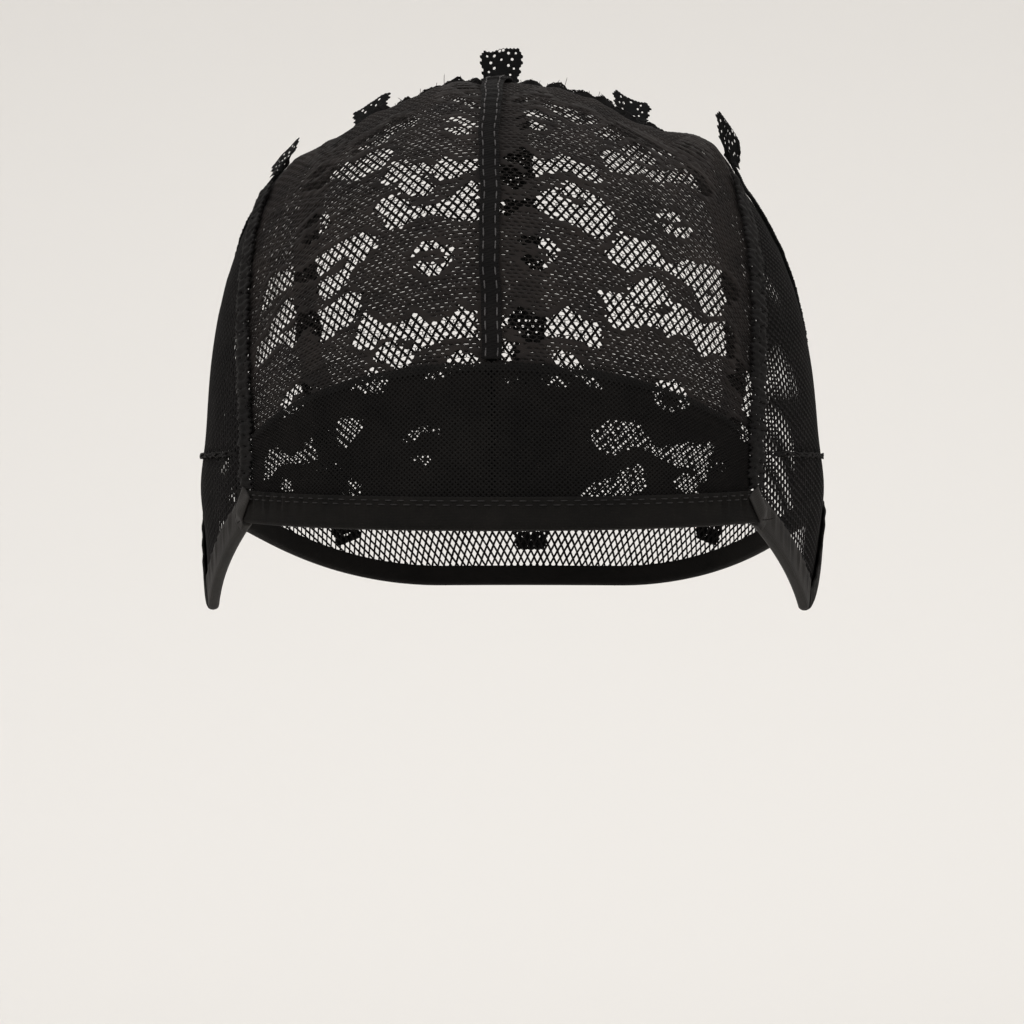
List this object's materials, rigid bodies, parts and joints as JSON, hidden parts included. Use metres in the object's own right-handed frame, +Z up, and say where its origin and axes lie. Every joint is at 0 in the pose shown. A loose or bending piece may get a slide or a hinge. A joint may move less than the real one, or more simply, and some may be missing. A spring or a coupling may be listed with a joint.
{
  "type": "wig cap",
  "caption": "Stretch wig cap with a patterned lace front, net back, crocheted lace strips to sew hair to, ear tabs and taped edges, in its worn form.",
  "frame": {"origin": "inside of the crown, at the point where the cap sits on the top of the head", "axes": "+Z up, the wearer faces -Y, +X to the right seen from the front; millimetre-true worn form, longest from front to back along Y"},
  "size_m": [0.1646, 0.196, 0.1467],
  "materials": {
    "lace": "matte knitted lace",
    "net": "matte stretch net",
    "tape": "matte woven ribbon",
    "ear_tape": "slightly shiny woven ribbon",
    "crochet": "deep black crocheted cotton"
  },
  "bodies": {
    "root": {"front_lace_left": "lace", "front_lace_right": "lace", "forehead_band": "net", "front_hem_tape": "tape", "centre_seam_tape": "tape", "side_seam_left": "net", "side_seam_right": "net", "crown_seam": "net", "back_net": "net", "ear_tab_left": "net", "ear_tab_right": "net", "ear_seam_left": "net", "ear_seam_right": "net", "ear_tape_left": "ear_tape", "ear_tape_right": "ear_tape", "back_binding": "tape", "lace_strip_outer_left": "crochet", "lace_strip_inner_left": "crochet", "lace_strip_centre": "crochet", "lace_strip_inner_right": "crochet", "lace_strip_outer_right": "crochet"}
  },
  "joints": []
}
